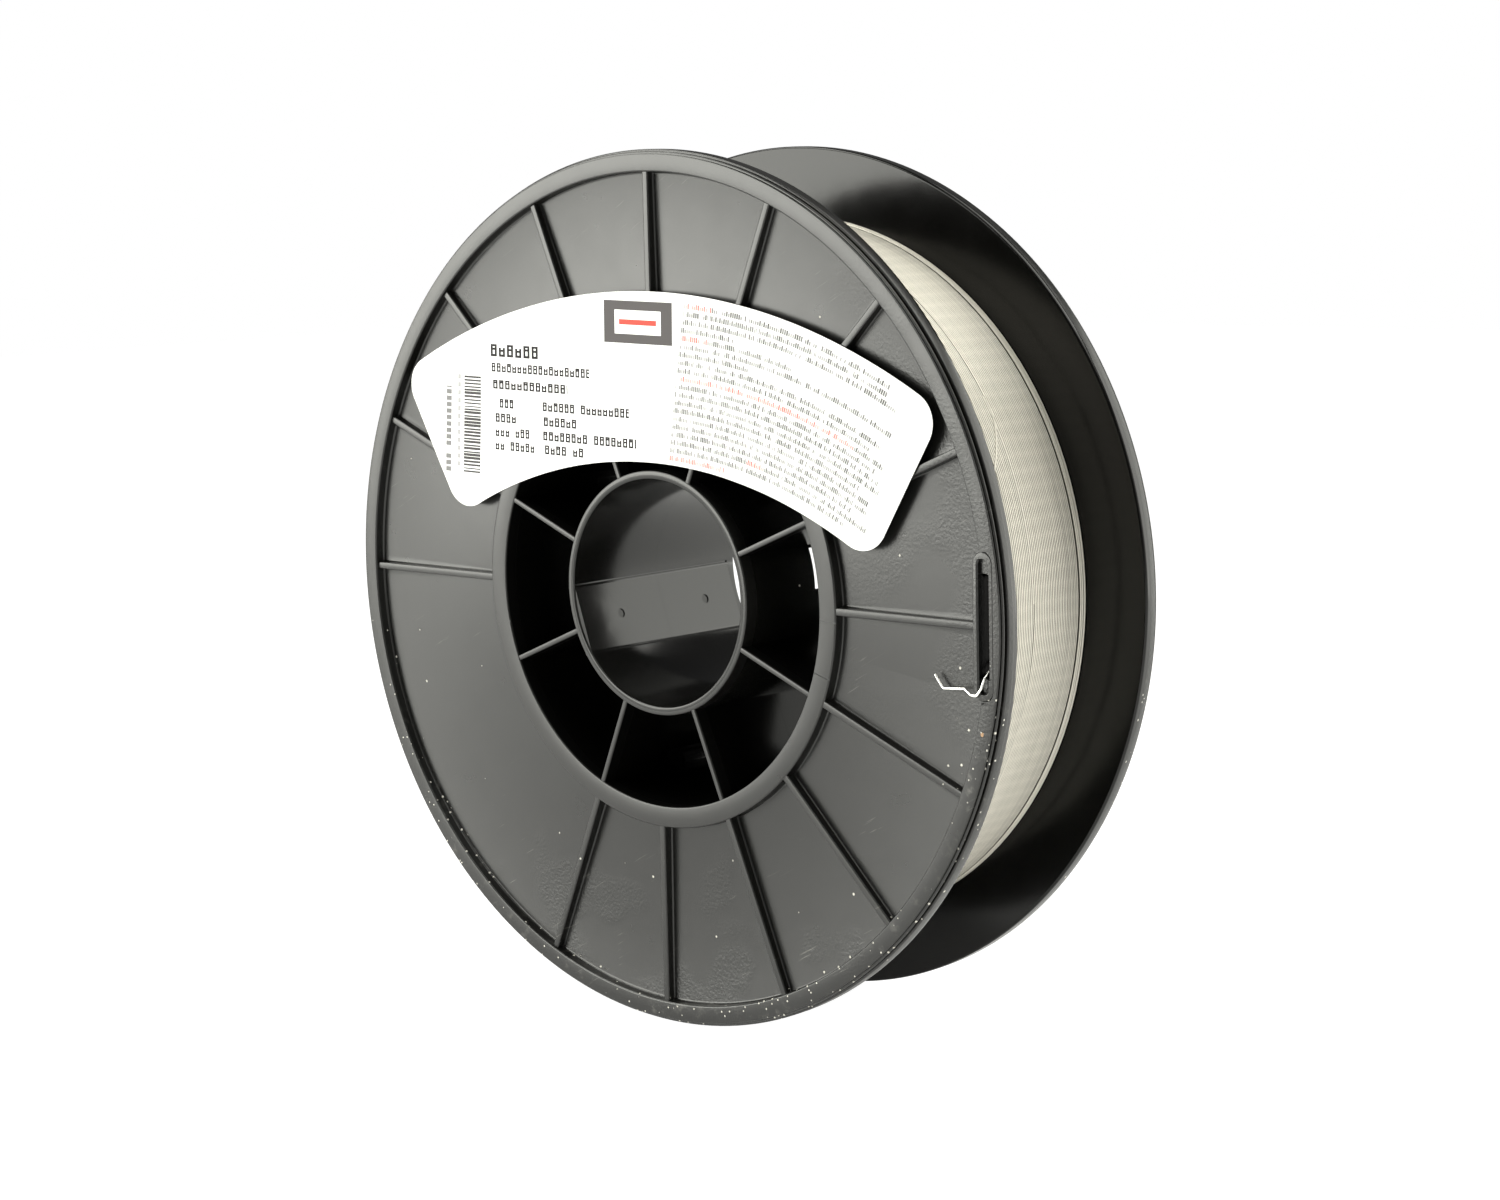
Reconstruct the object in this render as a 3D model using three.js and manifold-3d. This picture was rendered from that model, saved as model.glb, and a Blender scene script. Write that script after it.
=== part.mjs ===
// Plastic spool of welding wire, 200 mm across the flanges.
// Millimetres. The spool's axis is Y with the labelled face towards -Y, Z is up, and the origin is
// the middle of the bore. Angles are in degrees about the axis, from +X towards +Z.
// A "depth" is a distance from the middle plane y = 0 towards a half's own outer face.
import * as THREE from "three";
import { mergeVertices } from "three/addons/utils/BufferGeometryUtils.js";
import Module from "manifold-3d";

const wasm = await Module();
wasm.setup();

// Spool envelope
const RIM_RADIUS = 100;
const RIM_DEPTH = 28;
const HUB_DEPTH = 27.5;
const BORE_RADIUS = 26.1;

// Rim of each flange
const RIM_LIP_RADIUS = 99;
const RIM_INNER_RADIUS = 95;
const RIM_STEP_DEPTH = 26.3;
const RIM_CORNER = 0.4;

// Web, hub ring, barrel and bore tube
const FLANGE_INNER_DEPTH = 23;
const WEB_DEPTH_AT_HUB = 24.9;
const WEB_DEPTH_AT_RIM = 25.5;
const HUB_RING_RADIUS = 54;
const BARREL_WALL = 2.3;
const POCKET_RADIUS = 49.2;
const BARREL_RADIUS = POCKET_RADIUS + BARREL_WALL;
const TUBE_WALL = 1.9;
const TUBE_RADIUS = BORE_RADIUS + TUBE_WALL;

// Ribs: thin ones across the pockets round the bore tube, wider ones on the web
const POCKET_RIB_COUNT = 8;
const POCKET_RIB_WIDTH = 1.3;
const WEB_RIB_COUNT = 16;
const WEB_RIB_WIDTH = 1.7;
const WEB_RIB_DEPTH = 27.3;
const BARE_WEB_RIBS = [9, 10];
const RIB_BITE = 0.6;

// Slot through the rim for the wire's end, with a shallow run-out at both ends
const SLOT_X = 93.9;
const SLOT_WIDTH = 2.4;
const SLOT_LENGTH = 28.6;
const SLOT_THROUGH_LENGTH = 21.6;
const SLOT_FLOOR_DEPTH = 25.3;
const SLOT_BORDER = 1.5;
const SLOT_BORDER_DEPTH = 27.4;

// Locating pegs that line the two halves up, with bosses beside the pocket ribs
const PEG_CIRCLE_RADIUS = 45.4;
const PEG_RADIUS = 1.5;
const PEG_LENGTH = 4;
const PEG_CLEARANCE = 0.3;
const PEG_ANGLES = [152.2, 252.7];
const BOSS_RADIUS = 3.6;
const BOSS_LENGTH = 8;

// Flat pad along the bore, and the window across the joint opposite it
const PAD_ANGLE = 198.4;
const PAD_DISTANCE = 25;
const PAD_WIDTH = 15.2;
const WINDOW_ANGLE = 10.6;
const WINDOW_WIDTH = 9.4;
const WINDOW_DEPTH = 4.2;

// Wire
const WIRE_DIAMETER = 0.6;
const WINDING_RADIUS = 84.3;
const WINDING_GAP = 0.3;
const WIRE_END_SIDES = 8;
const WIRE_END_STEPS = 34;
const WIRE_END_POINTS = [
  [84.9, -22.3, -3.5],
  [88.6, -22.4, -5.4],
  [92.2, -22.5, -7.2],
  [93.8, -23.4, -8.6],
  [94.0, -25.0, -9.8],
  [93.9, -26.3, -11.4],
  [93.5, -27.4, -12.8],
  [92.6, -27.85, -14.0],
  [91.2, -27.8, -14.3],
  [89.0, -27.4, -13.4],
  [86.1, -27.1, -13.5],
  [83.0, -26.8, -13.8],
  [80.9, -26.5, -11.4],
];

// Label: part of a ring whose centre lies below the spool's axis
const LABEL_CENTRE_DROP = 98.3;
const LABEL_INNER_RADIUS = 128.2;
const LABEL_OUTER_RADIUS = 166.7;
const LABEL_SPAN = 60;
const LABEL_TURN = 1.3;
const LABEL_CORNER_RADIUS = 7;
const LABEL_THICKNESS = 0.2;
const LABEL_GAP = 0.1;

// Meshing
const ROUND_SEGMENTS = 72;
const SMALL_ROUND_SEGMENTS = 16;
const JOINT_GAP = 0.3;
const OVERSHOOT = 1;

const radians = THREE.MathUtils.degToRad;

// Half a segment's turn puts the middle of a flat of the faceted rim straight below the axis.
const LATHE_START = Math.PI / ROUND_SEGMENTS;

const plastic = { color: 0x26272a, roughness: 0.32, metalness: 0 };

function toSolid(geometry) {
  const bare = geometry.clone();
  bare.deleteAttribute("normal");
  bare.deleteAttribute("uv");
  const merged = mergeVertices(bare, 1e-4);
  return new wasm.Manifold(
    new wasm.Mesh({
      numProp: 3,
      vertProperties: new Float32Array(merged.attributes.position.array),
      triVerts: new Uint32Array(merged.index.array),
    }),
  );
}

function toGeometry(solid) {
  const mesh = solid.getMesh();
  const geometry = new THREE.BufferGeometry();
  geometry.setAttribute("position", new THREE.BufferAttribute(mesh.vertProperties, 3));
  geometry.setIndex(new THREE.BufferAttribute(mesh.triVerts, 1));
  geometry.computeVertexNormals();
  return geometry;
}

// Solid of revolution about Y from a closed outline of [radius, depth] pairs, on the -Y side.
function ring(outline) {
  const points = outline.map(([radius, depth]) => new THREE.Vector2(radius, -depth));
  points.push(points[0].clone());
  return toSolid(new THREE.LatheGeometry(points, ROUND_SEGMENTS, LATHE_START));
}

// Block from one radius to another and one depth to another, centred on an angle.
function radialBlock(angle, radii, depths, width) {
  const [inner, outer] = radii;
  const [near, far] = depths;
  const box = new THREE.BoxGeometry(outer - inner, far - near, width);
  box.translate((inner + outer) / 2, -(near + far) / 2, 0);
  box.rotateY(-radians(angle));
  return toSolid(box);
}

// Round bar parallel to the axis.
function axialBar(angle, circleRadius, radius, depths) {
  const [near, far] = depths;
  const bar = new THREE.CylinderGeometry(radius, radius, far - near, SMALL_ROUND_SEGMENTS);
  bar.translate(circleRadius, -(near + far) / 2, 0);
  bar.rotateY(-radians(angle));
  return toSolid(bar);
}

// Upright bar with round ends, as wide as the slot or its border, pushed through the flange.
function slotBar(width, length, depths) {
  const [near, far] = depths;
  const radius = width / 2;
  const straight = length / 2 - radius;
  const outline = new THREE.Shape();
  outline.absarc(SLOT_X, straight, radius, 0, Math.PI, false);
  outline.absarc(SLOT_X, -straight, radius, Math.PI, 2 * Math.PI, false);
  outline.closePath();
  const bar = new THREE.ExtrudeGeometry(outline, {
    depth: far - near,
    bevelEnabled: false,
    curveSegments: SMALL_ROUND_SEGMENTS / 2,
  });
  bar.rotateX(Math.PI / 2);
  bar.translate(0, -near, 0);
  return toSolid(bar);
}

function flangeAndBarrel() {
  const joint = JOINT_GAP / 2;
  return ring([
    [POCKET_RADIUS, joint],
    [POCKET_RADIUS, HUB_DEPTH],
    [HUB_RING_RADIUS, HUB_DEPTH],
    [HUB_RING_RADIUS, WEB_DEPTH_AT_HUB],
    [RIM_INNER_RADIUS, WEB_DEPTH_AT_RIM],
    [RIM_INNER_RADIUS, RIM_DEPTH],
    [RIM_LIP_RADIUS, RIM_DEPTH],
    [RIM_LIP_RADIUS, RIM_STEP_DEPTH],
    [RIM_RADIUS, RIM_STEP_DEPTH],
    [RIM_RADIUS, FLANGE_INNER_DEPTH + RIM_CORNER],
    [RIM_RADIUS - RIM_CORNER, FLANGE_INNER_DEPTH],
    [BARREL_RADIUS, FLANGE_INNER_DEPTH],
    [BARREL_RADIUS, joint],
  ]);
}

function boreTube() {
  const joint = JOINT_GAP / 2;
  return ring([
    [BORE_RADIUS, joint],
    [BORE_RADIUS, HUB_DEPTH],
    [TUBE_RADIUS, HUB_DEPTH],
    [TUBE_RADIUS, joint],
  ]);
}

function pocketRibs() {
  const radii = [TUBE_RADIUS - RIB_BITE, POCKET_RADIUS + RIB_BITE];
  const pitch = 360 / POCKET_RIB_COUNT;
  return Array.from({ length: POCKET_RIB_COUNT }, (_, i) =>
    radialBlock((i + 0.5) * pitch, radii, [JOINT_GAP / 2, HUB_DEPTH], POCKET_RIB_WIDTH),
  );
}

function webRibs() {
  const depths = [WEB_DEPTH_AT_HUB - RIB_BITE, WEB_RIB_DEPTH];
  const pitch = 360 / WEB_RIB_COUNT;
  const slotSide = SLOT_X - SLOT_WIDTH / 2 - SLOT_BORDER / 2;
  const ribs = [];
  for (let i = 0; i < WEB_RIB_COUNT; i++) {
    if (BARE_WEB_RIBS.includes(i)) continue;
    const end = i === 0 ? slotSide : RIM_INNER_RADIUS + RIB_BITE;
    ribs.push(radialBlock(i * pitch, [HUB_RING_RADIUS - RIB_BITE, end], depths, WEB_RIB_WIDTH));
  }
  return ribs;
}

function slotBorder() {
  const width = SLOT_WIDTH + 2 * SLOT_BORDER;
  const length = SLOT_LENGTH + 2 * SLOT_BORDER;
  return slotBar(width, length, [WEB_DEPTH_AT_RIM - RIB_BITE, SLOT_BORDER_DEPTH]);
}

function slotCuts() {
  const through = [FLANGE_INNER_DEPTH - OVERSHOOT, RIM_DEPTH + OVERSHOOT];
  const runOut = [SLOT_FLOOR_DEPTH, RIM_DEPTH + OVERSHOOT];
  return [
    slotBar(SLOT_WIDTH, SLOT_THROUGH_LENGTH, through),
    slotBar(SLOT_WIDTH, SLOT_LENGTH, runOut),
  ];
}

// Each half carries two pegs, and two sockets where the pegs of the half facing it come in.
function pegParts() {
  const joint = JOINT_GAP / 2;
  const bosses = [];
  const pegs = [];
  const sockets = [];
  for (const angle of PEG_ANGLES) {
    const facing = 180 - angle;
    for (const at of [angle, facing]) {
      bosses.push(axialBar(at, PEG_CIRCLE_RADIUS, BOSS_RADIUS, [joint, BOSS_LENGTH]));
    }
    pegs.push(axialBar(angle, PEG_CIRCLE_RADIUS, PEG_RADIUS, [-PEG_LENGTH, BOSS_LENGTH / 2]));
    sockets.push(
      axialBar(facing, PEG_CIRCLE_RADIUS, PEG_RADIUS + PEG_CLEARANCE, [
        -OVERSHOOT,
        PEG_LENGTH + OVERSHOOT,
      ]),
    );
  }
  return { bosses, pegs, sockets };
}

function mirrored(angle, isFront) {
  return isFront ? angle : 180 - angle;
}

function borePad(isFront) {
  const angle = mirrored(PAD_ANGLE, isFront);
  const radii = [PAD_DISTANCE, TUBE_RADIUS - TUBE_WALL / 2];
  return radialBlock(angle, radii, [JOINT_GAP / 2, HUB_DEPTH], PAD_WIDTH);
}

function boreWindow(isFront) {
  const angle = mirrored(WINDOW_ANGLE, isFront);
  const radii = [BORE_RADIUS - OVERSHOOT, TUBE_RADIUS + OVERSHOOT];
  return radialBlock(angle, radii, [-OVERSHOOT, WINDOW_DEPTH], WINDOW_WIDTH);
}

// One moulded half, built with its outer face towards -Y.
function halfGeometry(isFront) {
  const { bosses, pegs, sockets } = pegParts();
  const added = [boreTube(), ...pocketRibs(), ...webRibs(), slotBorder(), ...bosses];
  added.push(borePad(isFront));
  let solid = flangeAndBarrel();
  for (const piece of added) solid = solid.add(piece);
  for (const cut of [...slotCuts(), ...sockets, boreWindow(isFront)]) solid = solid.subtract(cut);
  for (const peg of pegs) solid = solid.add(peg);
  return toGeometry(solid);
}

function half(name, isFront) {
  const mesh = new THREE.Mesh(halfGeometry(isFront), new THREE.MeshStandardMaterial(plastic));
  mesh.name = name;
  mesh.rotation.z = isFront ? 0 : Math.PI;
  return mesh;
}

function winding() {
  const inner = BARREL_RADIUS + WINDING_GAP;
  const halfWidth = FLANGE_INNER_DEPTH - WINDING_GAP;
  const solid = ring([
    [inner, -halfWidth],
    [inner, halfWidth],
    [WINDING_RADIUS, halfWidth],
    [WINDING_RADIUS, -halfWidth],
  ]);
  const steel = { color: 0xc9c3b6, roughness: 0.38, metalness: 1 };
  const mesh = new THREE.Mesh(toGeometry(solid), new THREE.MeshStandardMaterial(steel));
  mesh.name = "wire_winding";
  return mesh;
}

// The wire's outer end comes up from the winding, through the slot and back over its border.
function wireEnd() {
  const route = WIRE_END_POINTS.map((point) => new THREE.Vector3(...point));
  const section = new THREE.Shape();
  for (let i = 0; i < WIRE_END_SIDES; i++) {
    const turn = (2 * Math.PI * i) / WIRE_END_SIDES;
    const x = (WIRE_DIAMETER / 2) * Math.cos(turn);
    const y = (WIRE_DIAMETER / 2) * Math.sin(turn);
    if (i === 0) section.moveTo(x, y);
    else section.lineTo(x, y);
  }
  section.closePath();
  const geometry = new THREE.ExtrudeGeometry(section, {
    steps: WIRE_END_STEPS,
    extrudePath: new THREE.CatmullRomCurve3(route, false, "centripetal"),
    bevelEnabled: false,
  });
  const steel = { color: 0xd9d6cf, roughness: 0.25, metalness: 1 };
  const mesh = new THREE.Mesh(geometry, new THREE.MeshStandardMaterial(steel));
  mesh.name = "wire_end";
  return mesh;
}

// Ring sector with rounded corners, drawn flat with its own centre at (0, -LABEL_CENTRE_DROP).
function labelOutline() {
  const rounding = LABEL_CORNER_RADIUS;
  const middleAngle = Math.PI / 2;
  const halfSpan = radians(LABEL_SPAN / 2);
  const outerTurn = Math.asin(rounding / (LABEL_OUTER_RADIUS - rounding));
  const innerTurn = Math.asin(rounding / (LABEL_INNER_RADIUS + rounding));
  const outline = new THREE.Shape();
  const corner = (radius, angle, from, to) => {
    const x = radius * Math.cos(angle);
    const y = radius * Math.sin(angle) - LABEL_CENTRE_DROP;
    outline.absarc(x, y, rounding, from, to, false);
  };
  const right = middleAngle - halfSpan;
  const left = middleAngle + halfSpan;
  const outerCorner = LABEL_OUTER_RADIUS - rounding;
  const innerCorner = LABEL_INNER_RADIUS + rounding;
  corner(outerCorner, right + outerTurn, right - Math.PI / 2, right + outerTurn);
  outline.absarc(
    0,
    -LABEL_CENTRE_DROP,
    LABEL_OUTER_RADIUS,
    right + outerTurn,
    left - outerTurn,
    false,
  );
  corner(outerCorner, left - outerTurn, left - outerTurn, left + Math.PI / 2);
  corner(innerCorner, left - innerTurn, left + Math.PI / 2, left - innerTurn + Math.PI);
  outline.absarc(
    0,
    -LABEL_CENTRE_DROP,
    LABEL_INNER_RADIUS,
    left - innerTurn,
    right + innerTurn,
    true,
  );
  corner(innerCorner, right + innerTurn, right + innerTurn - Math.PI, right - Math.PI / 2);
  outline.closePath();
  return outline;
}

function label() {
  const geometry = new THREE.ExtrudeGeometry(labelOutline(), {
    depth: LABEL_THICKNESS,
    bevelEnabled: false,
    curveSegments: SMALL_ROUND_SEGMENTS,
  });
  geometry.rotateX(Math.PI / 2);
  geometry.translate(0, -(HUB_DEPTH + LABEL_GAP), 0);
  const paper = { color: 0xf4f3ef, roughness: 0.6, metalness: 0 };
  const mesh = new THREE.Mesh(geometry, new THREE.MeshStandardMaterial(paper));
  mesh.name = "label";
  mesh.rotation.y = radians(LABEL_TURN);
  return mesh;
}

const spool = new THREE.Group();
spool.add(half("front_half", true));
spool.add(half("rear_half", false));
spool.add(winding());
spool.add(wireEnd());
spool.add(label());

export default spool;
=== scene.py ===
import math

import bmesh
import bpy
from bpy.props import FloatProperty, FloatVectorProperty, PointerProperty
from mathutils import Matrix, Vector, noise


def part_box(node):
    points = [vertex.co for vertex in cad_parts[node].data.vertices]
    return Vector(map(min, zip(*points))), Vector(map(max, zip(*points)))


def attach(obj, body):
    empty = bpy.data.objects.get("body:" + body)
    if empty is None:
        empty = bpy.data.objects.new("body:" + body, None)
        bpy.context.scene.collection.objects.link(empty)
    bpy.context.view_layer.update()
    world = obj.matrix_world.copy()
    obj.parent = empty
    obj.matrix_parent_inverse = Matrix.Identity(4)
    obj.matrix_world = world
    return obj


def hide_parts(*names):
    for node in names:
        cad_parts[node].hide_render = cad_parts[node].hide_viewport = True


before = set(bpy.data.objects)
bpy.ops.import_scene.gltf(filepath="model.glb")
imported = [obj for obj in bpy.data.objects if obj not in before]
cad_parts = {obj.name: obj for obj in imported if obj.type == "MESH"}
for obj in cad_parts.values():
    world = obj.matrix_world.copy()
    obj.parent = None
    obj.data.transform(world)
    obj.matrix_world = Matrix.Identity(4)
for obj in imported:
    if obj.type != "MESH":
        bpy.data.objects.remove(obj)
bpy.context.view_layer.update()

# Plastic spool of welding wire. Settings are in metres and meshes are worked out in millimetres.
# The spool's axis is Y with the labelled face towards -Y, Z is up, and the origin is the middle of
# the bore. Angles are about the axis, from +X towards +Z. A "depth" is a distance from the middle
# plane y = 0 towards a half's own outer face.

bl_info = {
    "name": "Welding wire spool",
    "version": (1, 0, 0),
    "blender": (4, 5, 0),
    "location": "View3D > Sidebar > Spool",
    "description": "Builds the halves, winding, wire end and label of a welding wire spool",
    "category": "Object",
}

MM = 0.001
HALF_LOW, HALF_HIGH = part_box("front_half")

# Rim profile, from the outer face inwards
RIM_INNER_RADIUS = 95
RIM_LIP_DROP = 1.0
RIM_GROOVE_DROP = 1.5
RIM_BEAD_DROP = 0.5
LIP_DEPTH = 27.72
BEAD_OUTER_DEPTH = 27.45
BEAD_INNER_DEPTH = 26.75
BAND_DEPTH = 26.35

# Flange, web and hub
FLANGE_INNER_DEPTH = 23
WEB_DEPTH_AT_HUB = 24.9
WEB_DEPTH_AT_RIM = 25.5
BARREL_WALL = 2.3
TUBE_WALL = 1.9
JOINT_DEPTH = 0.01
LATHE_SEGMENTS = 240
CUT_PAST = 1

# Ribs
POCKET_RIB_COUNT = 8
POCKET_RIB_DEPTH = 27.35
WEB_RIB_COUNT = 16
WEB_RIB_DEPTH = 27.3
BARE_WEB_RIBS = (9, 10)
RIB_BITE = 0.6
RIB_EDGE = 0.32
RIB_FOOT = 0.45
RIB_FOOT_MARGIN = 0.15
RIB_FOOT_SINK = 0.02

# Slot for the wire's end
SLOT_X = 93.9
SLOT_WIDTH = 2.4
SLOT_LENGTH = 28.6
SLOT_THROUGH_LENGTH = 21.6
SLOT_FLOOR_DEPTH = 25.0
SLOT_RUN_OUT_DEPTH = 26.3
SLOT_CHAMFER = 0.35
SLOT_END_WIDTH = 0.12
LEDGE_X = 95.5
LEDGE_WIDTH = 1.9
LEDGE_LENGTH = 22.2
LEDGE_DEPTH = 26.7
BORDER_X = 94.05
BORDER_WIDTH = 5.5
BORDER_LENGTH = 31.6
BORDER_DEPTH = 27.4
BORDER_EDGE = 0.35
BORDER_CLEARANCE = 0.25
RECESS_DROP = 0.3
RECESS_FLARE = 0.6
RECESS_REACH = 2

# Pegs and bosses between the halves, the flat in the bore and the window across the joint
PEG_CIRCLE_RADIUS = 45.4
PEG_RADIUS = 1.5
PEG_LENGTH = 4
PEG_CLEARANCE = 0.2
PEG_HOLE_SPARE = 1
PEG_ANGLES = (152.2, 252.7)
BOSS_RADIUS = 3.2
BOSS_LENGTH = 8
PAD_ANGLE = 198.4
PAD_DISTANCE = 25
PAD_WIDTH = 16.4
PAD_REAR_END = 2.5
PAD_GROOVE_WIDTH = 0.4
PAD_GROOVE_RADIUS = 26.35
PAD_GROOVE_REACH = 1.6
EJECTOR_MARK_RADIUS = 1.1
EJECTOR_MARK_DEPTH = 14.5
EJECTOR_MARK_DROP = 0.25
WITNESS_ANGLES = (191.9, 343.8, 357.4)
WITNESS_WIDTH = 0.3
WITNESS_DEPTH = 0.15
WINDOW_ANGLE = 10.6
WINDOW_WIDTH = 9.4
WINDOW_DEPTH = 4.2

# Finish of the plastic: sizes of its texture, heights of its relief, cell size and largest radius
# of its specks, the crumb of dirt below the slot, and shares of painted shade, a dull black, in its
# hollows
CLOUD_SIZE = 38
MOTTLE_SIZE = 7
GRAIN_SIZE = 0.7
PEEL_PATCH_SIZE = 22
STREAK_SIZE = 0.55
WORN_SIZE = 14
HAZE_SIZE = 3.2
GRAIN_RELIEF = 0.006
PEEL_RELIEF = 0.065
MOTTLE_RELIEF = 0.02
DUST_RELIEF = 0.15
PLASTIC_ROUGHNESS = 0.25
FINE_DUST = (1.8, 0.42)
COARSE_DUST = (7.0, 0.5)
CRUMB_X = 94.0
CRUMB_Z = -22.6
CRUMB_RADIUS = 0.85
CRUMB_COLOUR = (0.36, 0.22, 0.12)
SLOT_SHADE = 0.92
POCKET_SHADE = 0.75
BETWEEN_SHADE = 0.45
BORE_SHADE = 0.25

# Winding. The core's surface is CORE_SINK wire diameters below the outer turns, and each loose turn
# stands off the flange by its gap
CORE_INNER_RADIUS = 51.8
WINDING_HALF_WIDTH = 22.8
LAYER_RISE = 0.52
CORE_SINK = 0.62
CORE_STEP_Y = 3.1
TURN_PITCH = 1.003
TURN_STEPS = 144
TURN_WANDER = 0.016
TURN_WANDER_RATE = 3.1
WIRE_SIDES = 8
WIRE_CREASE = 60
LAST_TURN_ANGLE = 31.6
LAST_TURN_Y = 3.5
# Painted shade: the wire's colour is darkened to this share in the crevices between turns
PAINTED_CREVICE_SHADE = 0.15
LOWER_TURNS_Y = 3.8
LOOSE_TURN_GAPS = (0.0, 0.82, 1.47, 2.1)
LOOSE_TURN_RISE = 0.22
LOOSE_TURN_LEAN = 0.1
LOOSE_TURN_ANGLE = 200

# The wire's end, from the last turn across the winding and through the slot
CROSSING_END_ANGLE = -1.0
CROSSING_END_Y = -21.9
CROSSING_STEPS = 60
CROSSING_CLIMB = 0.35
CROSSING_CLIMB_SHARE = 1 / 8
WIRE_END_BEND = 0.9
WIRE_END_SIDES = 14
WIRE_END_POINTS = (
    (86.2, -22.3, -3.2),
    (93.3, -22.3, -7.4),
    (93.9, -23.6, -8.9),
    (94.2, -25.6, -9.5),
    (94.1, -27.0, -10.9),
    (93.6, -27.6, -13.0),
    (92.5, -27.85, -14.6),
    (91.2, -27.85, -14.5),
    (89.0, -27.4, -13.4),
    (82.9, -26.7, -14.0),
    (80.6, -26.6, -11.2),
)

# Label
LABEL_CENTRE_DROP = 98.3
LABEL_DEPTH = 27.62
LABEL_THICKNESS = 0.16
LABEL_SAG = 0.08
LABEL_STATIONS = 120
LABEL_ROWS = 26

# Each line of large print: left end, right end, foot, height and pitch of its blocks
LARGE_PRINT = (
    (-52.6, -36.1, 51.5, 2.9, 2.75),
    (-52.4, -19.9, 47.9, 2.1, 1.75),
    (-52.0, -27.1, 43.9, 2.1, 2.05),
    (-51.6, -45.1, 39.5, 2.1, 1.7),
    (-35.4, -7.4, 39.5, 2.1, 1.8),
    (-51.4, -43.9, 36.05, 2.1, 1.85),
    (-35.1, -24.0, 36.05, 2.1, 1.85),
    (-51.5, -39.6, 32.7, 2.1, 1.7),
    (-35.3, -5.2, 32.7, 2.1, 1.85),
    (-51.6, -37.9, 29.5, 2.1, 1.7),
    (-34.8, -19.9, 29.5, 2.1, 1.85),
)

# Printed areas: left, right, foot, top. Pitches are in millimetres
BARS_AREA = (-63.7, -57.9, 23.1, 46.5)
NUMBERS_AREA = (-65.9, -64.9, 24.0, 47.5)
SIDE_WORDS_AREA = (-69.9, -68.1, 22.8, 43.8)
PANEL_AREA = (-15.0, 6.35, 56.5, 66.1)
WINDOW_AREA = (-11.6, 2.9, 58.6, 64.0)
RULE_AREA = (-10.2, 1.5, 60.7, 61.9)
BARS_LEAN = 0.038
BARS_PITCH = 0.78
NUMBERS_PITCH = 1.9
SIDE_WORDS_PITCH = 1.55

# Fine print: rows by radius, ends of its short rows in degrees, and (row, from, to) red runs
SMALL_PRINT_FOOT = 129.0
SMALL_PRINT_PITCH = 1.81
SMALL_PRINT_ROWS = 20
SMALL_PRINT_LETTER = 0.56
SMALL_PRINT_STRETCH = 2.6
SHORT_ROWS = {0: 9.7, 13: 11.0, 15: 15.4, 16: 9.0}
RED_RUNS = ((0, 0, 10), (2, 12.4, 14.6), (10, 0, 23.6), (15, 0, 6.2), (19, 0, 6.4))

# Camera, floor and light
CAMERA_AIM = Vector((2.69, 1.56, -4.7))
FLOOR_REACH = 2500
FLOOR_GAP = 0.2
FLOOR_BOUNCE = 0.85
LIGHT_COLOUR = (1.0, 1.0, 0.93)

# Each light: name, place, point it faces, width, height, share of the key light's strength
LIGHTS = (
    ("key_light", (-900, -1050, 280), (0, 0, 20), 1000, 800, 1.0),
    ("top_light", (450, 200, 1200), (0, 0, 0), 1500, 1100, 0.42),
    ("edge_light", (-650, -350, 900), (0, 0, 0), 700, 500, 0.8),
    ("back_light", (430, 470, 160), (0, 0, 0), 700, 500, 0.31),
    ("right_light", (1200, -50, 250), (0, 0, 0), 1100, 900, 0.14),
)


def length_setting(name, description, default):
    """Setting in metres."""
    return FloatProperty(name=name, description=description, default=default, unit="LENGTH")


def angle_setting(name, description, degrees):
    """Setting for an angle, with its default given in degrees."""
    turn = math.radians(degrees)
    return FloatProperty(name=name, description=description, default=turn, unit="ROTATION")


def colour_setting(name, description, default):
    """Setting for a colour."""
    return FloatVectorProperty(
        name=name, description=description, default=default, subtype="COLOR"
    )


def number_setting(name, description, default):
    """Setting for a plain number."""
    return FloatProperty(name=name, description=description, default=default)


class SpoolShellSettings(bpy.types.PropertyGroup):
    """Sizes and colour of the two moulded halves"""

    rim_radius: length_setting(
        "Rim radius", "Outside radius of each flange", round(HALF_HIGH.x, 3)
    )
    rim_depth: length_setting(
        "Rim depth", "Distance from the middle plane to the outer face of the rim", -HALF_LOW.y
    )
    hub_depth: length_setting(
        "Hub depth", "Distance from the middle plane to the outer face of the hub ring", 0.0275
    )
    bore_radius: length_setting("Bore radius", "Inside radius of the bore tube", 0.0261)
    pocket_radius: length_setting(
        "Pocket radius", "Radius of the barrel's inner wall, round the pockets", 0.0492
    )
    hub_ring_radius: length_setting(
        "Hub ring radius", "Outside radius of the raised ring round the pockets", 0.054
    )
    web_rib_width: length_setting(
        "Web rib width", "Width of the ribs from the hub ring to the rim", 0.0017
    )
    pocket_rib_width: length_setting(
        "Pocket rib width", "Width of the ribs between the pockets", 0.0013
    )
    colour: colour_setting(
        "Plastic colour", "Colour of the moulded plastic", (0.005, 0.005, 0.0044)
    )
    dust_colour: colour_setting(
        "Dust colour", "Colour of the specks and scuffs on the plastic", (0.62, 0.6, 0.54)
    )


class SpoolWireSettings(bpy.types.PropertyGroup):
    """Sizes and colours of the winding and the wire's end"""

    wire_diameter: length_setting("Wire diameter", "Diameter of the welding wire", 0.0006)
    winding_radius: length_setting("Winding radius", "Outside radius of the full winding", 0.0843)
    winding_colour: colour_setting(
        "Winding colour", "Colour of the wound wire", (0.62, 0.595, 0.53)
    )
    # Painted light: the end's colour is much lighter than the winding's, for the part of the end
    # lit past the flange.
    end_colour: colour_setting(
        "Wire end colour", "Colour of the bright bent end of the wire", (0.9, 0.89, 0.85)
    )


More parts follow.
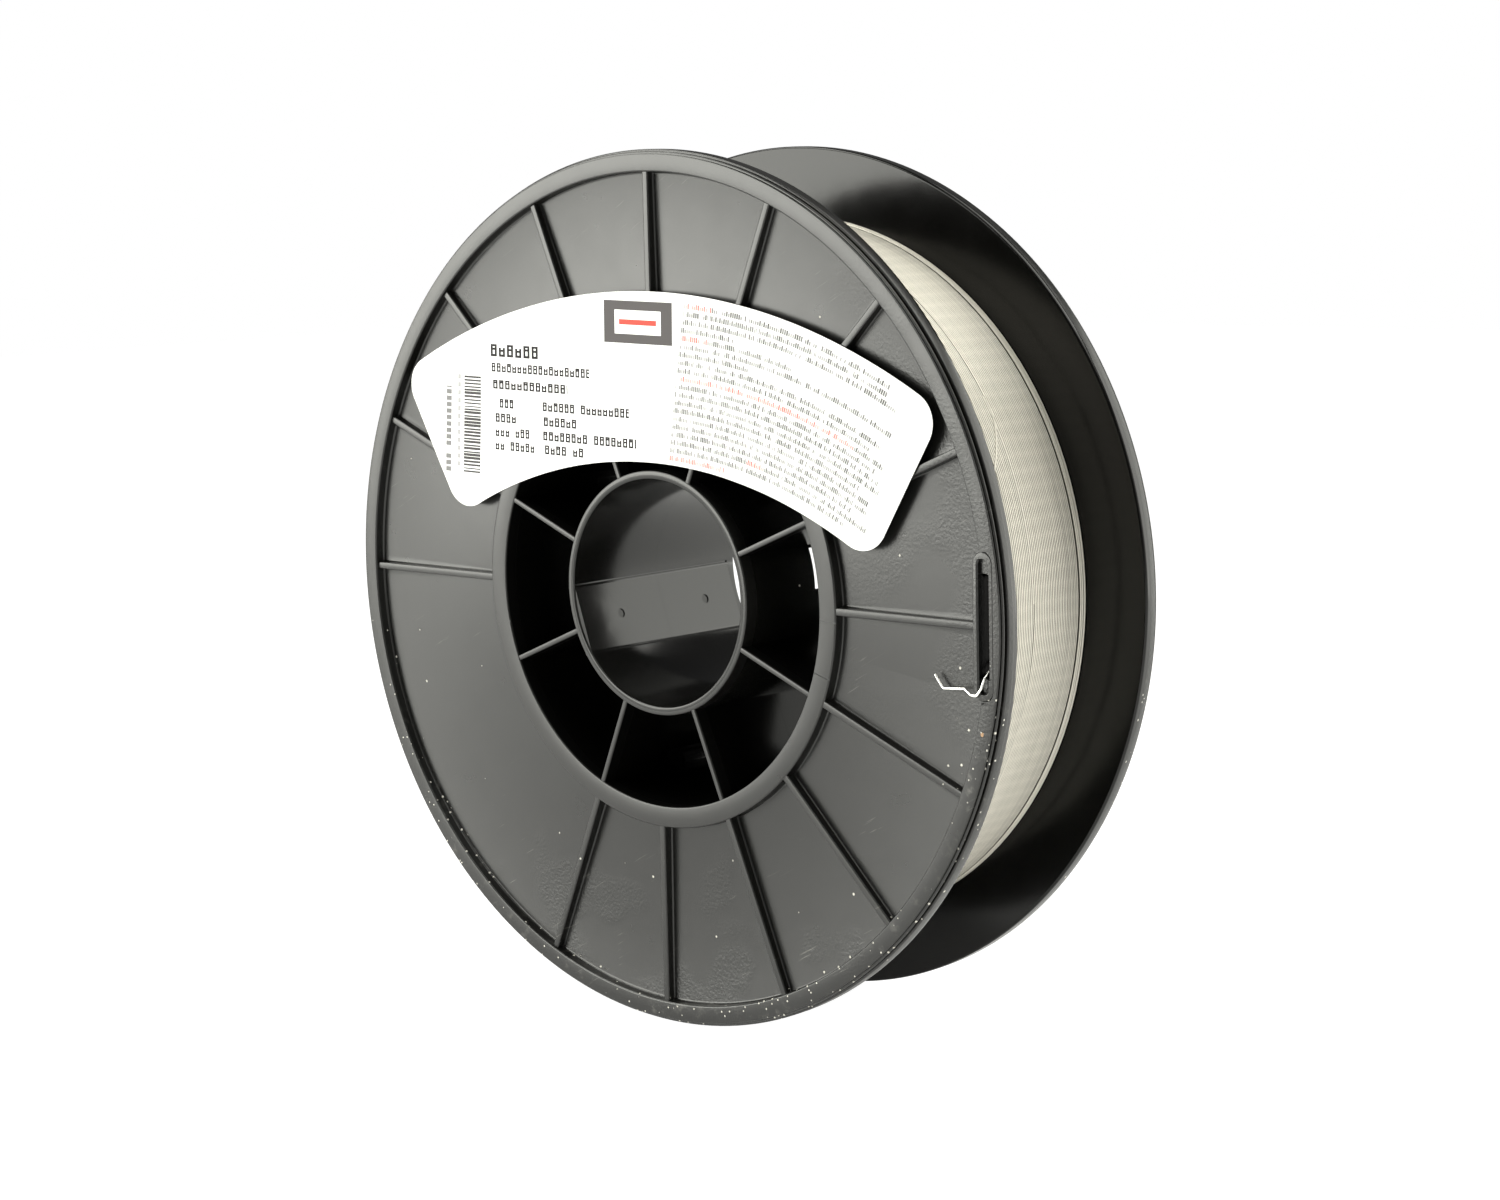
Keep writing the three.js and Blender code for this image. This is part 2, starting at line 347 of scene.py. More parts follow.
class SpoolLabelSettings(bpy.types.PropertyGroup):
    """Sizes and colours of the paper label"""

    inner_radius: length_setting(
        "Inner radius", "Radius of the label's lower edge about the label's own centre", 0.1282
    )
    outer_radius: length_setting(
        "Outer radius", "Radius of the label's upper edge about the label's own centre", 0.1667
    )
    span: angle_setting("Span", "Angle that the label covers about its own centre", 60)
    turn: angle_setting(
        "Turn", "Turn of the label about the spool's axis, clockwise from the front", 1.3
    )
    corner_radius: length_setting("Corner radius", "Radius of the label's four corners", 0.007)
    paper_colour: colour_setting("Paper colour", "Colour of the bare paper", (0.93, 0.93, 0.92))
    ink_colour: colour_setting("Ink colour", "Colour of the dark print", (0.03, 0.028, 0.028))
    accent_colour: colour_setting("Accent colour", "Colour of the red print", (0.72, 0.09, 0.07))


class SpoolStageSettings(bpy.types.PropertyGroup):
    """Floor, light and camera"""

    floor_colour: colour_setting("Floor colour", "Colour of the plain floor", (0.2, 0.2, 0.2))
    floor_glow: number_setting(
        "Floor glow", "Brightness that the floor shows of its own, as a lit white table does", 0.98
    )
    floor_light: number_setting(
        "Floor light", "Even part of the floor's brightness as the spool's surfaces meet it", 0.3
    )
    key_strength: number_setting(
        "Key strength", "Brightness of the large soft light at the front left", 9.4
    )
    room_strength: number_setting("Room strength", "Brightness of the even light all round", 0.12)
    camera_distance: length_setting(
        "Camera distance", "Distance from the camera to the point it looks at", 0.7325
    )
    camera_azimuth: angle_setting(
        "Camera azimuth", "Angle of the camera round the spool, from -Y towards +X", 42.31
    )
    camera_elevation: angle_setting(
        "Camera elevation", "Angle of the camera above the horizon", 7.92
    )
    camera_roll: angle_setting(
        "Camera roll", "Turn of the camera about its own line of sight", -1.31
    )
    lens: number_setting("Lens", "Focal length in millimetres on a 36 mm sensor", 75.26)


# Points and outlines


def at(radius, sideways, depth, angle=0.0):
    """Point at a radius, a sideways distance and a depth, turned to an angle in degrees about Y."""
    turn = math.radians(angle)
    return Vector(
        (
            radius * math.cos(turn) - sideways * math.sin(turn),
            -depth,
            radius * math.sin(turn) + sideways * math.cos(turn),
        )
    )


def corner_arc(before, corner, after, radius, steps):
    """Points of the arc that rounds a corner between two straight sides."""
    towards_before = (before - corner).normalized()
    towards_after = (after - corner).normalized()
    half = towards_before.angle(towards_after) / 2
    centre = corner + (towards_before + towards_after).normalized() * (radius / math.sin(half))
    start = corner + towards_before * (radius / math.tan(half)) - centre
    end = corner + towards_after * (radius / math.tan(half)) - centre
    sweep = math.pi - 2 * half
    return [
        centre
        + (start * math.sin((1 - step / steps) * sweep) + end * math.sin(step / steps * sweep))
        / math.sin(sweep)
        for step in range(steps + 1)
    ]


def rounded(corners, steps=4):
    """Closed outline from (x, y, rounding radius) corners."""
    points = [Vector(corner[:2]) for corner in corners]
    outline = []
    for index, corner in enumerate(points):
        radius = corners[index][2]
        if radius:
            before, after = points[index - 1], points[(index + 1) % len(points)]
            outline += corner_arc(before, corner, after, radius, steps)
        else:
            outline.append(corner)
    return outline


def bent(points, radius, steps=5):
    """Open path through points with each inner one rounded, as a bent wire is."""
    points = [Vector(point) for point in points]
    path = [points[0]]
    for before, corner, after in zip(points, points[1:], points[2:]):
        shortest = min((before - corner).length, (after - corner).length)
        half = (before - corner).angle(after - corner) / 2
        fitting = min(radius, 0.45 * shortest * math.tan(half))
        path += corner_arc(before, corner, after, fitting, steps)
    return [*path, points[-1]]


# Meshes


def loft(bm, sections, ring=False):
    """Skin through closed sections with equal counts of points, joined up as a ring or capped."""
    rows = [[bm.verts.new(point) for point in section] for section in sections]
    following = rows[1:] + rows[:1] if ring else rows[1:]
    count = len(rows[0])
    for near, far in zip(rows, following):
        for i in range(count):
            j = (i + 1) % count
            bm.faces.new((near[i], near[j], far[j], far[i]))
    if not ring:
        bm.faces.new(rows[0])
        bm.faces.new(rows[-1])


def lathe(bm, corners, segments=LATHE_SEGMENTS):
    """Solid of revolution about Y from (radius, depth, rounding radius) corners."""
    outline = rounded(corners)
    angles = [360 * i / segments for i in range(segments)]
    loft(bm, [[at(x, 0, depth, angle) for x, depth in outline] for angle in angles], ring=True)


def add_bars(bm, angles, radius, depths, sides=32):
    """Round bars parallel to the axis, on the circle of the pegs."""
    turns = [2 * math.pi * i / sides for i in range(sides)]
    outline = [(PEG_CIRCLE_RADIUS + radius * math.cos(t), radius * math.sin(t)) for t in turns]
    for angle in angles:
        loft(bm, [[at(x, s, depth, angle) for x, s in outline] for depth in depths])


def block(bm, angle, radii, depths, width):
    """Plain block between two radii and two depths, centred on an angle."""
    side = width / 2
    near, far = depths
    section = ((-side, near), (side, near), (side, far), (-side, far))
    loft(bm, [[at(radius, s, d, angle) for s, d in section] for radius in radii])


def oblong_bar(bm, centre_x, levels, end_steps=12):
    """Upright bar with round ends through the flange, from (width, length, depth) levels."""
    sections = []
    for width, length, depth in levels:
        radius = width / 2
        straight = length / 2 - radius
        turns = [math.pi * i / end_steps for i in range(end_steps + 1)]
        ends = [(radius * math.cos(t), straight + radius * math.sin(t)) for t in turns]
        ends += [(-x, -z) for x, z in ends]
        sections.append([Vector((centre_x + x, -depth, z)) for x, z in ends])
    loft(bm, sections)


def tube(bm, path, radius, sides=WIRE_SIDES):
    """Round tube along a path, with its section carried along without twisting."""
    tangents = []
    for index in range(len(path)):
        ahead = path[min(index + 1, len(path) - 1)]
        behind = path[max(index - 1, 0)]
        tangents.append((ahead - behind).normalized())
    normal = tangents[0].orthogonal().normalized()
    sections = []
    for point, tangent in zip(path, tangents):
        normal = (normal - tangent * normal.dot(tangent)).normalized()
        side = tangent.cross(normal)
        turns = [2 * math.pi * i / sides for i in range(sides)]
        sections.append(
            [point + (normal * math.cos(t) + side * math.sin(t)) * radius for t in turns]
        )
    loft(bm, sections)


def new_object(name, bm):
    """Object from a mesh in millimetres, with its faces turned outwards."""
    bmesh.ops.recalc_face_normals(bm, faces=bm.faces)
    mesh = bpy.data.meshes.new(name)
    bm.to_mesh(mesh)
    bm.free()
    obj = bpy.data.objects.new(name, mesh)
    bpy.context.scene.collection.objects.link(obj)
    return obj


def combine(obj, operation, draw, *sizes):
    """Joins an object's mesh with what a function draws, or cuts it with that."""
    bm = bmesh.new()
    draw(bm, *sizes)
    tool = new_object("tool", bm)
    modifier = obj.modifiers.new("combine", "BOOLEAN")
    modifier.operation = operation
    modifier.solver = "MANIFOLD"
    modifier.object = tool
    graph = bpy.context.evaluated_depsgraph_get()
    before = obj.data
    obj.data = bpy.data.meshes.new_from_object(obj.evaluated_get(graph))
    obj.modifiers.remove(modifier)
    bpy.data.meshes.remove(before)
    bpy.data.meshes.remove(tool.data)
    if not obj.data.polygons:
        raise RuntimeError(f"{obj.name}: {operation} left no faces")


def finish_piece(obj, node, material, crease=30):
    """Scales a mesh from millimetres, shades it smooth between creases and hands it over."""
    obj.data.name = obj.name
    obj.data.transform(Matrix.Scale(MM, 4))
    obj.data.shade_smooth()
    obj.data.set_sharp_from_angle(angle=math.radians(crease))
    obj.data.materials.clear()
    obj.data.materials.append(material)
    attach(obj, "root")
    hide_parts(node)


# Moulded halves


def flange_corners(shell):
    """Outline of one half's flange and barrel."""
    rim, rim_depth = shell.rim_radius / MM, shell.rim_depth / MM
    hub_depth = shell.hub_depth / MM
    pocket, hub_ring = shell.pocket_radius / MM, shell.hub_ring_radius / MM
    barrel = pocket + BARREL_WALL
    lip, groove, bead = rim - RIM_LIP_DROP, rim - RIM_GROOVE_DROP, rim - RIM_BEAD_DROP
    return [
        (pocket, JOINT_DEPTH, 0),
        (pocket, hub_depth, 0.3),
        (hub_ring, hub_depth, 0.4),
        (hub_ring, WEB_DEPTH_AT_HUB, 0.35),
        (RIM_INNER_RADIUS, WEB_DEPTH_AT_RIM, 0.5),
        (RIM_INNER_RADIUS, rim_depth, 0.4),
        (lip, rim_depth, 0.2),
        (lip, LIP_DEPTH, 0),
        (groove, LIP_DEPTH, 0),
        (groove, BEAD_OUTER_DEPTH, 0),
        (bead, BEAD_OUTER_DEPTH, 0.3),
        (bead, BEAD_INNER_DEPTH, 0.3),
        (groove, BEAD_INNER_DEPTH, 0),
        (groove, BAND_DEPTH, 0),
        (rim, BAND_DEPTH, 0.35),
        (rim, FLANGE_INNER_DEPTH, 0.6),
        (barrel, FLANGE_INNER_DEPTH, 0.5),
        (barrel, JOINT_DEPTH, 0),
    ]


def tube_corners(shell):
    """Outline of one half's bore tube."""
    bore, hub_depth = shell.bore_radius / MM, shell.hub_depth / MM
    outer = bore + TUBE_WALL
    return [
        (bore, JOINT_DEPTH, 0),
        (bore, hub_depth, 0.35),
        (outer, hub_depth, 0.35),
        (outer, JOINT_DEPTH, 0),
    ]


def add_pocket_ribs(bm, shell):
    """Thin ribs between the bore tube and the barrel, with rounded outer edges."""
    inner = shell.bore_radius / MM + TUBE_WALL - RIB_BITE
    outer = shell.pocket_radius / MM + RIB_BITE
    side = shell.pocket_rib_width / MM / 2
    start = 2 * JOINT_DEPTH
    section = rounded(
        [
            (-side, start, 0),
            (-side, POCKET_RIB_DEPTH, RIB_EDGE),
            (side, POCKET_RIB_DEPTH, RIB_EDGE),
            (side, start, 0),
        ]
    )
    pitch = 360 / POCKET_RIB_COUNT
    for i in range(POCKET_RIB_COUNT):
        angle = (i + 0.5) * pitch
        loft(bm, [[at(radius, s, d, angle) for s, d in section] for radius in (inner, outer)])


def web_depth(radius, shell):
    """Depth of the slightly coned web at a radius."""
    hub_ring = shell.hub_ring_radius / MM
    share = (radius - hub_ring) / (RIM_INNER_RADIUS - hub_ring)
    return WEB_DEPTH_AT_HUB + share * (WEB_DEPTH_AT_RIM - WEB_DEPTH_AT_HUB)


def web_rib_section(radius, shell):
    """Section of a web rib: rounded edges above, and a filleted foot that follows the web."""
    side = shell.web_rib_width / MM / 2
    floor = web_depth(radius, shell) - RIB_FOOT_SINK
    foot = side + RIB_FOOT + RIB_FOOT_MARGIN
    below = floor - RIB_BITE
    return rounded(
        [
            (-foot, below, 0),
            (-foot, floor, 0),
            (-side, floor, RIB_FOOT),
            (-side, WEB_RIB_DEPTH, RIB_EDGE),
            (side, WEB_RIB_DEPTH, RIB_EDGE),
            (side, floor, RIB_FOOT),
            (foot, floor, 0),
            (foot, below, 0),
        ]
    )


def add_web_ribs(bm, shell):
    """Ribs from the hub ring to the rim. One ends at the slot's border and two places are bare."""
    inner = shell.hub_ring_radius / MM - RIB_BITE
    pitch = 360 / WEB_RIB_COUNT
    for i in range(WEB_RIB_COUNT):
        if i in BARE_WEB_RIBS:
            continue
        outer = BORDER_X - BORDER_WIDTH / 2 + RIB_BITE if i == 0 else RIM_INNER_RADIUS + RIB_BITE
        sections = [
            [at(radius, s, d, i * pitch) for s, d in web_rib_section(radius, shell)]
            for radius in (inner, outer)
        ]
        loft(bm, sections)


def add_border(bm, steps=4):
    """Raised border round the slot, with rounded upper edges."""
    levels = [(BORDER_WIDTH, BORDER_LENGTH, WEB_DEPTH_AT_HUB - RIB_BITE)]
    for step in range(steps + 1):
        turn = math.pi / 2 * step / steps
        inset = 2 * BORDER_EDGE * (1 - math.cos(turn))
        depth = BORDER_DEPTH - BORDER_EDGE + BORDER_EDGE * math.sin(turn)
        levels.append((BORDER_WIDTH - inset, BORDER_LENGTH - inset, depth))
    oblong_bar(bm, BORDER_X, levels)


def add_rim_recess(bm):
    """Cut that lets the rim down to the level of the slot's border."""
    width, length = BORDER_WIDTH + 2 * BORDER_CLEARANCE, BORDER_LENGTH + 2 * BORDER_CLEARANCE
    foot = (width, length, BORDER_DEPTH - RECESS_DROP)
    top = (width + RECESS_FLARE, length + RECESS_FLARE, BORDER_DEPTH + RECESS_REACH)
    oblong_bar(bm, BORDER_X, (foot, top))


def add_slot_cut(bm):
    """The open middle of the slot."""
    depths = (FLANGE_INNER_DEPTH - CUT_PAST, BORDER_DEPTH + CUT_PAST)
    oblong_bar(bm, SLOT_X, [(SLOT_WIDTH, SLOT_THROUGH_LENGTH, depth) for depth in depths])


def add_run_out_cut(bm, stations=60):
    """The slot's shallow round ends, a step below the border."""
    side, reach = SLOT_WIDTH / 2, SLOT_LENGTH / 2
    middle = SLOT_THROUGH_LENGTH / 2
    sections = []
    for i in range(stations + 1):
        z = -reach * math.cos(math.pi * i / stations)
        past = max(0.0, abs(z) - (reach - side)) / side
        half_width = max(SLOT_END_WIDTH, side * math.sqrt(max(0.0, 1 - past * past)))
        floor = SLOT_RUN_OUT_DEPTH if abs(z) > middle else SLOT_FLOOR_DEPTH
        top, chamfered = BORDER_DEPTH - SLOT_CHAMFER, half_width + SLOT_CHAMFER
        section = (
            (-half_width, floor),
            (-half_width, top),
            (-chamfered, BORDER_DEPTH + 0.01),
            (-chamfered, BORDER_DEPTH + CUT_PAST),
            (chamfered, BORDER_DEPTH + CUT_PAST),
            (chamfered, BORDER_DEPTH + 0.01),
            (half_width, top),
            (half_width, floor),
        )
        sections.append([Vector((SLOT_X + x, -depth, z)) for x, depth in section])
    loft(bm, sections)


def add_ledge_cut(bm):
    """The low ledge along the slot's side nearest the rim."""
    depths = (LEDGE_DEPTH, BORDER_DEPTH + CUT_PAST)
    oblong_bar(bm, LEDGE_X, [(LEDGE_WIDTH, LEDGE_LENGTH, depth) for depth in depths])


def add_witness_lines(bm, shell, is_front):
    """Hair-thin marks across the hub ring."""
    ring = (shell.pocket_radius / MM - 0.5, shell.hub_ring_radius / MM + 0.2)
    depth = shell.hub_depth / MM
    for angle in WITNESS_ANGLES:
        turned = mirrored(angle, is_front)
        block(bm, turned, ring, (depth - WITNESS_DEPTH, depth + 0.5), WITNESS_WIDTH)


def add_pad_grooves(bm, pad_angle, bore, end):
    """Fine grooves along both edges of the flat pad in the bore."""
    spread = math.degrees(math.asin(PAD_WIDTH / 2 / bore))
    for angle in (pad_angle - spread, pad_angle + spread):
        radii = (bore - PAD_GROOVE_REACH, PAD_GROOVE_RADIUS)
        block(bm, angle, radii, (-CUT_PAST, end), PAD_GROOVE_WIDTH)


def add_ejector_mark(bm, pad_angle):
    """Shallow round mark of an ejector pin in the flat pad."""
    ends = (PAD_DISTANCE - CUT_PAST, PAD_DISTANCE + EJECTOR_MARK_DROP)
    path = [at(radius, 0, EJECTOR_MARK_DEPTH, pad_angle) for radius in ends]
    tube(bm, path, EJECTOR_MARK_RADIUS, sides=24)


def mirrored(angle, is_front):
    """Angle as it is in a half's own frame, before the rear half is turned round."""
    return angle if is_front else 180 - angle


def build_half(name, shell, is_front):
    """One moulded half, built facing -Y and turned round if it is the rear one."""
    bm = bmesh.new()
    lathe(bm, flange_corners(shell))
    lathe(bm, tube_corners(shell))
    obj = new_object(name, bm)
    add, cut = "UNION", "DIFFERENCE"
    bore, hub_depth = shell.bore_radius / MM, shell.hub_depth / MM
    pad_angle = mirrored(PAD_ANGLE, is_front)
    pad_radii = (PAD_DISTANCE, bore + TUBE_WALL / 2)
    pad_end = hub_depth - (RIB_EDGE if is_front else PAD_REAR_END)
    window_angle = mirrored(WINDOW_ANGLE, is_front)
    window_radii = (bore - CUT_PAST, bore + TUBE_WALL + CUT_PAST)
    combine(obj, cut, add_rim_recess)
    combine(obj, add, add_pocket_ribs, shell)
    combine(obj, add, add_web_ribs, shell)
    combine(obj, add, add_border)
    combine(obj, add, block, pad_angle, pad_radii, (1.5 * JOINT_DEPTH, pad_end), PAD_WIDTH)
    combine(obj, cut, add_pad_grooves, pad_angle, bore, pad_end)
    combine(obj, cut, add_ejector_mark, pad_angle)
    combine(obj, cut, add_witness_lines, shell, is_front)
    combine(obj, cut, add_slot_cut)
    combine(obj, cut, add_run_out_cut)
    combine(obj, cut, add_ledge_cut)
    combine(obj, cut, block, window_angle, window_radii, (-CUT_PAST, WINDOW_DEPTH), WINDOW_WIDTH)

    facing = [180 - angle for angle in PEG_ANGLES]
    bosses = [angle for pair in zip(PEG_ANGLES, facing) for angle in pair]
    hole = PEG_RADIUS + PEG_CLEARANCE
    combine(obj, add, add_bars, bosses, BOSS_RADIUS, (2 * JOINT_DEPTH, BOSS_LENGTH))
    combine(obj, cut, add_bars, facing, hole, (-CUT_PAST, PEG_LENGTH + PEG_HOLE_SPARE))
    combine(obj, add, add_bars, PEG_ANGLES, PEG_RADIUS, (-PEG_LENGTH, BOSS_LENGTH / 2))
    if not is_front:
        obj.data.transform(Matrix.Rotation(math.pi, 4, "Z"))
    return obj


# Wire


def turn_wander(turns):
    """Small uneven rise of the wire as it is laid, in millimetres, from a count of turns."""
    return TURN_WANDER * noise.noise(Vector((turns * TURN_WANDER_RATE, 0, 0)))


def laid_turns(start_y, end_y, pitch, radius, end_angle):
    """Path of wire laid turn beside turn, ending at an angle, turning from +Z towards +X."""
    count = abs(end_y - start_y) / pitch
    total = round(count * TURN_STEPS)
    path = []
    for step in range(total + 1):
        turns = step / TURN_STEPS
        y = start_y + (end_y - start_y) * step / total
        angle = end_angle + 360 * (count - turns)
        path.append(at(radius + turn_wander(turns), 0, -y, angle))
    return path


def build_core(wire):
    """Solid body of the winding under its outer turns, with the step of the last layer."""
    diameter, outer = wire.wire_diameter / MM, wire.winding_radius / MM
    high = outer - CORE_SINK * diameter
    low = high - LAYER_RISE
    bm = bmesh.new()
    lathe(
        bm,
        [
            (CORE_INNER_RADIUS, -WINDING_HALF_WIDTH, 0),
            (low, -WINDING_HALF_WIDTH, 0),
            (low, -CORE_STEP_Y, 0),
            (high, -CORE_STEP_Y, 0),
            (high, WINDING_HALF_WIDTH, 0),
            (CORE_INNER_RADIUS, WINDING_HALF_WIDTH, 0),
        ],
    )
    return new_object("winding_core", bm)


def build_outer_turns(wire):
    """The last layer, which ends part of the way across, and the turns seen beside it."""
    diameter = wire.wire_diameter / MM
    half = diameter / 2
    radius = wire.winding_radius / MM - half
    low = radius - LAYER_RISE
    edge = WINDING_HALF_WIDTH - half
    pitch = diameter * TURN_PITCH
    bm = bmesh.new()
    tube(bm, laid_turns(-edge, LAST_TURN_Y, pitch, radius, LAST_TURN_ANGLE), half)
    tube(bm, laid_turns(edge - LOOSE_TURN_GAPS[-1], LOWER_TURNS_Y, pitch, low, 0), half)
    loose, lean = low + LOOSE_TURN_RISE, LOOSE_TURN_LEAN
    for gap in LOOSE_TURN_GAPS[:-1]:
        y = edge - gap
        tube(bm, laid_turns(y, y - lean, lean, loose, LOOSE_TURN_ANGLE), half)
    return new_object("wire_winding_turns", bm)


def build_wire_end(wire):
    """The wire's end, across the winding to the front flange, through the slot and bent back."""
    diameter = wire.wire_diameter / MM
    on_layer = wire.winding_radius / MM - diameter / 2
    path = []
    for step in range(CROSSING_STEPS + 1):
        share = step / CROSSING_STEPS
        climb = min(1.0, share / CROSSING_CLIMB_SHARE)
        angle = LAST_TURN_ANGLE + share * (CROSSING_END_ANGLE - LAST_TURN_ANGLE)
        ease = share * share * (3 - 2 * share)
        y = LAST_TURN_Y + ease * (CROSSING_END_Y - LAST_TURN_Y)
        path.append(at(on_layer + climb * CROSSING_CLIMB * diameter, 0, -y, angle))
    path = path[:-1] + bent([path[-1], *WIRE_END_POINTS], WIRE_END_BEND)
    bm = bmesh.new()
    tube(bm, path, diameter / 2, WIRE_END_SIDES)
    return new_object("wire_end_bent", bm)


# Label


def label_sag(angle):
    """How far the paper dips between the web ribs at an angle about the spool's axis."""
    phase = (angle / (360 / WEB_RIB_COUNT)) % 1
    return LABEL_SAG * math.sin(math.pi * phase) ** 2


def build_label(label):
    """Thin sheet with rounded corners, lying on the ribs and dipping a little between them."""
    inner, outer = label.inner_radius / MM, label.outer_radius / MM
    rounding = label.corner_radius / MM
    half_span = label.span / 2
    centre = Vector((0, 0, -LABEL_CENTRE_DROP))
    turn = Matrix.Rotation(label.turn, 3, "Y")
    sections = []
    for i in range(LABEL_STATIONS + 1):
        along = -half_span * math.cos(math.pi * i / LABEL_STATIONS)

        def inset(radius):
            past = max(0.0, rounding - (half_span - abs(along)) * radius)
            return rounding - math.sqrt(max(0.0, rounding**2 - past**2))

        low, high = inner + inset(inner), outer - inset(outer)
        face, back = [], []
        for row in range(LABEL_ROWS + 1):
            radius = low + (high - low) * row / LABEL_ROWS
            flat = turn @ (
                centre + Vector((radius * math.sin(along), 0, radius * math.cos(along)))
            )
            sag = label_sag(math.degrees(math.atan2(flat.z, flat.x)))
            depth = LABEL_DEPTH - sag
            face.append(Vector((flat.x, -depth - LABEL_THICKNESS, flat.z)))
            back.append(Vector((flat.x, -depth, flat.z)))
        sections.append(face + back[::-1])
    bm = bmesh.new()
    loft(bm, sections)
    return new_object("paper_label", bm)


# Materials


def maths(operation, reflected=False):
    """Operator method that adds one Math node, for a value on its left if it is reflected."""
    if reflected:
        return lambda self, other: self.math(operation, other, self)
    return lambda self, *other: self.math(operation, self, *other)


class Channel:
    """One output socket, with arithmetic that adds Math nodes."""

    def __init__(self, paint, socket):
        self.paint = paint
        self.socket = socket

    def math(self, operation, *values):
        """Math node with its operation and its values."""
        inputs = dict(enumerate(values))
        return self.paint.add("Math", {"operation": operation}, inputs)

    __add__ = maths("ADD")
    __radd__ = maths("ADD", reflected=True)
    __sub__ = maths("SUBTRACT")
    __rsub__ = maths("SUBTRACT", reflected=True)
    __mul__ = maths("MULTIPLY")
    __rmul__ = maths("MULTIPLY", reflected=True)
    __truediv__ = maths("DIVIDE")
    __gt__ = maths("GREATER_THAN")
    __lt__ = maths("LESS_THAN")
    __or__ = maths("MAXIMUM")
    __abs__ = maths("ABSOLUTE")
    floor = maths("FLOOR")
    fraction = maths("FRACT")
    root = maths("SQRT")

    def within(self, low, high):
        """1 where the value lies between two others, else 0."""
        return (self > low) * (self < high)

    def rising(self, low, high):
        """Smooth step from 0 at low to 1 at high."""
        return self.paint.add(
            "MapRange",
            {"interpolation_type": "SMOOTHSTEP"},
            {"Value": self, "From Min": low, "From Max": high},
        )


class Paint:
    """One node material around a Principled shader."""

    def __init__(self, name):
        self.material = bpy.data.materials.new(name)
        self.material.use_nodes = True
        self.tree = self.material.node_tree
        self.tree.nodes.clear()
        self.place = self.add("TexCoord", {}, {}, "Object")
        self.millimetres = self.add(
            "VectorMath", {"operation": "SCALE"}, {0: self.place, "Scale": 1 / MM}
        )

    def add(self, kind, settings=None, inputs=None, output=0):
        """Adds a node with its settings first and its inputs after, and gives one output."""
        node = self.tree.nodes.new("ShaderNode" + kind)
        for name, value in (settings or {}).items():
            setattr(node, name, value)
        for name, value in (inputs or {}).items():
            if isinstance(value, Channel):
                self.tree.links.new(value.socket, node.inputs[name])
            else:
                node.inputs[name].default_value = value
        return Channel(self, node.outputs[output]) if len(node.outputs) else None

    def axes(self, vector=None):
        """The three parts of a vector, by default the place on the object in millimetres."""
        vector = vector or self.millimetres
        return [self.add("SeparateXYZ", {}, {0: vector}, name) for name in "XYZ"]

    def vector(self, x, y, z):
        """Vector from three values."""
        return self.add("CombineXYZ", {}, {"X": x, "Y": y, "Z": z})

    def noise(self, size, detail=2.0, vector=None, roughness=0.5):
        """Noise from 0 to 1 with features of about a size in millimetres."""
        return self.add(
            "TexNoise",
            {},
            {
                "Vector": vector or self.millimetres,
                "Scale": 1 / size,
                "Detail": detail,
                "Roughness": roughness,
            },
        )

    def scatter(self, vector):
        """Random value from 0 to 1 for each different vector."""
        return self.add("TexWhiteNoise", {"noise_dimensions": "3D"}, {"Vector": vector}, "Value")

    def mix(self, share, first, second):
        """Colour between two colours."""
        inputs = {"Factor": share, 6: first, 7: second}
        return self.add("Mix", {"data_type": "RGBA"}, inputs, 2)

    def bump(self, height, strength, distance):
        """Normal from a height, with a height of 1 standing for a distance in millimetres."""
        inputs = {"Height": height, "Strength": strength, "Distance": distance * MM}
        return self.add("Bump", {}, inputs)

    def finish(self, shade=None, **inputs):
        """Principled shader with its inputs to the output, dull black mixed in as painted shade in
        hollows.
        """
        named = {name.replace("_", " ").title(): value for name, value in inputs.items()}
        if "Specular" in named:
            named["Specular IOR Level"] = named.pop("Specular")
        shader = self.add("BsdfPrincipled", {}, named)
        if shade:
            # Painted shade: this dull black shader stands in for the shade in hollows.
            dark = {"Base Color": (0.001, 0.001, 0.001, 1), "Specular IOR Level": 0.0}
            hollow = self.add("BsdfPrincipled", {}, {**dark, "Roughness": 1.0})
            shader = self.add("MixShader", {}, {0: shade, 1: shader, 2: hollow})
        self.add("OutputMaterial", {}, {"Surface": shader})
        return self.material


def rgba(colour, factor=1.0):
    """Colour with an alpha of 1, brightened or darkened by a factor."""
    return (*(part * factor for part in colour), 1.0)


def specks(paint, size, radius, share):
    """Small round specks: cells of a size, of which a share holds a speck up to a radius."""
    inputs = {"Vector": paint.millimetres, "Scale": 1 / size, "Randomness": 1.0}
    distance = paint.add("TexVoronoi", {}, inputs, "Distance")
    pick = paint.add("TexVoronoi", {}, inputs, "Color")
    chosen = paint.axes(pick)
    reach = radius / size * (0.4 + 0.6 * chosen[1])
    return (chosen[0] < share) * (1 - distance.rising(reach * 0.6, reach))


